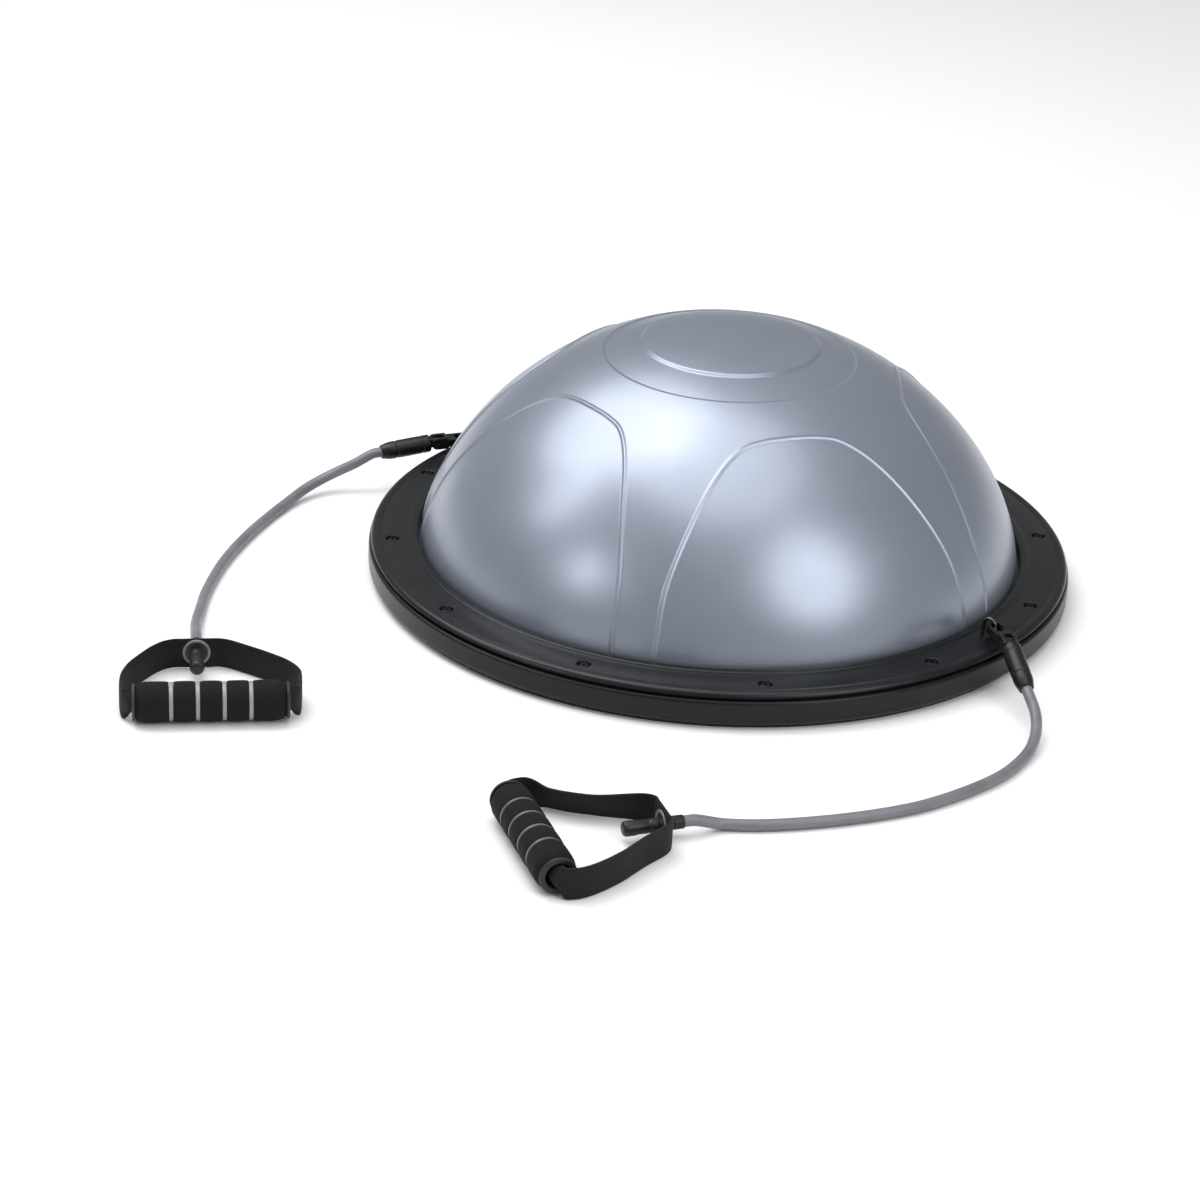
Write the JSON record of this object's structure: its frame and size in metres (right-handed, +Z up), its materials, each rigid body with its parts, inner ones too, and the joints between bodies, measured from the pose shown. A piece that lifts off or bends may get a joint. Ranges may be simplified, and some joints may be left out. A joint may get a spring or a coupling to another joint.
{
  "type": "balance dome trainer",
  "caption": "Half-ball balance trainer: an air-filled dome clamped to a round base, with elastic resistance bands that clip to the rim and end in foam-grip handles.",
  "frame": {"origin": "centre of the base's underside, on the floor it stands on", "axes": "+Z up; +X through the right band anchor; -Y towards the side on which the handles lie"},
  "size_m": [0.76, 0.8513, 0.2208],
  "materials": {
    "pan": "moulded, fine grain",
    "foot": "matt",
    "clamp": "satin moulded",
    "screw": "black oxide",
    "dome": "pearl silver, glossy",
    "valve": "smooth",
    "eye": "nickel plated",
    "nut": "zinc plated",
    "hook": "black, satin",
    "pin": "bright",
    "sleeve": "satin moulded",
    "ferrule": "plain",
    "tube": "satin latex",
    "stopper": "satin",
    "grommet": "smooth",
    "webbing": "woven",
    "core": "plain tube",
    "foam": "closed-cell foam",
    "ring": "smooth"
  },
  "bodies": {
    "base": {"base_pan": "pan", "foot_ring": "foot", "clamp_ring": "clamp", "clamp_screws": "screw", "dome_bladder": "dome", "valve_seat": "valve", "anchor_eye_left": "eye", "anchor_eye_right": "eye", "anchor_nuts_left": "nut", "anchor_nuts_right": "nut"},
    "valve_plug": {"valve_plug": "valve"},
    "hook_left": {"hook_left": "hook", "gate_pin_left": "pin", "hook_pin_left": "pin"},
    "gate_left": {"gate_left": "hook"},
    "band_left": {"sleeve_left": "sleeve", "ferrule_left": "ferrule", "tube_left": "tube"},
    "band_end_left": {"collar_left": "stopper", "stopper_left": "stopper"},
    "handle_left": {"strap_left": "webbing", "grommet_left": "grommet"},
    "grip_left": {"grip_core_left": "core", "grip_foam_left": "foam", "grip_rings_left": "ring", "grip_caps_left": "ring"},
    "hook_right": {"hook_right": "hook", "gate_pin_right": "pin", "hook_pin_right": "pin"},
    "gate_right": {"gate_right": "hook"},
    "band_right": {"sleeve_right": "sleeve", "ferrule_right": "ferrule", "tube_right": "tube"},
    "band_end_right": {"collar_right": "stopper", "stopper_right": "stopper"},
    "handle_right": {"strap_right": "webbing", "grommet_right": "grommet"},
    "grip_right": {"grip_core_right": "core", "grip_foam_right": "foam", "grip_rings_right": "ring", "grip_caps_right": "ring"}
  },
  "joints": [
    {"name": "valve_plug_pull", "type": "slide", "parent": "base", "child": "valve_plug", "axis": [0, 0, -1], "range_m": [0, 0.03]},
    {"name": "left_band_swing", "type": "hinge", "parent": "base", "child": "hook_left", "pos_m": [-0.2825, 0, 0.04], "axis": [0, 0, -1], "range_deg": [-10, 110]},
    {"name": "left_hook_gate", "type": "hinge", "parent": "hook_left", "child": "gate_left", "pos_m": [-0.28725, -0.01862, 0.04], "axis": [0, 0, 1], "range_deg": [0, 26], "stiffness_Nm_per_rad": 0.02, "springref_deg": -17.19},
    {"name": "left_band_lift", "type": "hinge", "parent": "hook_left", "child": "band_left", "pos_m": [-0.2995, -0.02944, 0.04], "axis": [-0.866, 0.5, 0], "range_deg": [0, 90]},
    {"name": "left_band_stretch", "type": "slide", "parent": "band_left", "child": "band_end_left", "axis": [0.7193, -0.6947, 0], "range_m": [0, 0.25], "stiffness_N_per_m": 180},
    {"name": "left_handle_swivel", "type": "hinge", "parent": "band_end_left", "child": "handle_left", "pos_m": [-0.18669, -0.44267, 0.0145], "axis": [-0.7193, 0.6947, 0], "continuous": true},
    {"name": "left_grip_roll", "type": "hinge", "parent": "handle_left", "child": "grip_left", "pos_m": [-0.115, -0.498, 0.016], "axis": [0.6947, 0.7193, 0], "continuous": true},
    {"name": "right_band_swing", "type": "hinge", "parent": "base", "child": "hook_right", "pos_m": [0.2825, 0, 0.04], "axis": [0, 0, 1], "range_deg": [-10, 110]},
    {"name": "right_hook_gate", "type": "hinge", "parent": "hook_right", "child": "gate_right", "pos_m": [0.3002, -0.00723, 0.04193], "axis": [-0.0824, 0.0644, 0.9945], "range_deg": [0, 26], "stiffness_Nm_per_rad": 0.02, "springref_deg": -17.19},
    {"name": "right_band_lift", "type": "hinge", "parent": "hook_right", "child": "band_right", "pos_m": [0.30915, -0.02082, 0.04355], "axis": [-0.6157, -0.788, 0], "range_deg": [0, 90]},
    {"name": "right_band_stretch", "type": "slide", "parent": "band_right", "child": "band_end_right", "axis": [-0.5299, -0.848, 0], "range_m": [0, 0.25], "stiffness_N_per_m": 180},
    {"name": "right_handle_swivel", "type": "hinge", "parent": "band_end_right", "child": "handle_right", "pos_m": [0.25852, -0.40335, 0.0118], "axis": [0.5299, 0.848, 0], "continuous": true},
    {"name": "right_grip_roll", "type": "hinge", "parent": "handle_right", "child": "grip_right", "pos_m": [0.205, -0.489, 0.016], "axis": [0.848, -0.5299, 0], "continuous": true}
  ]
}
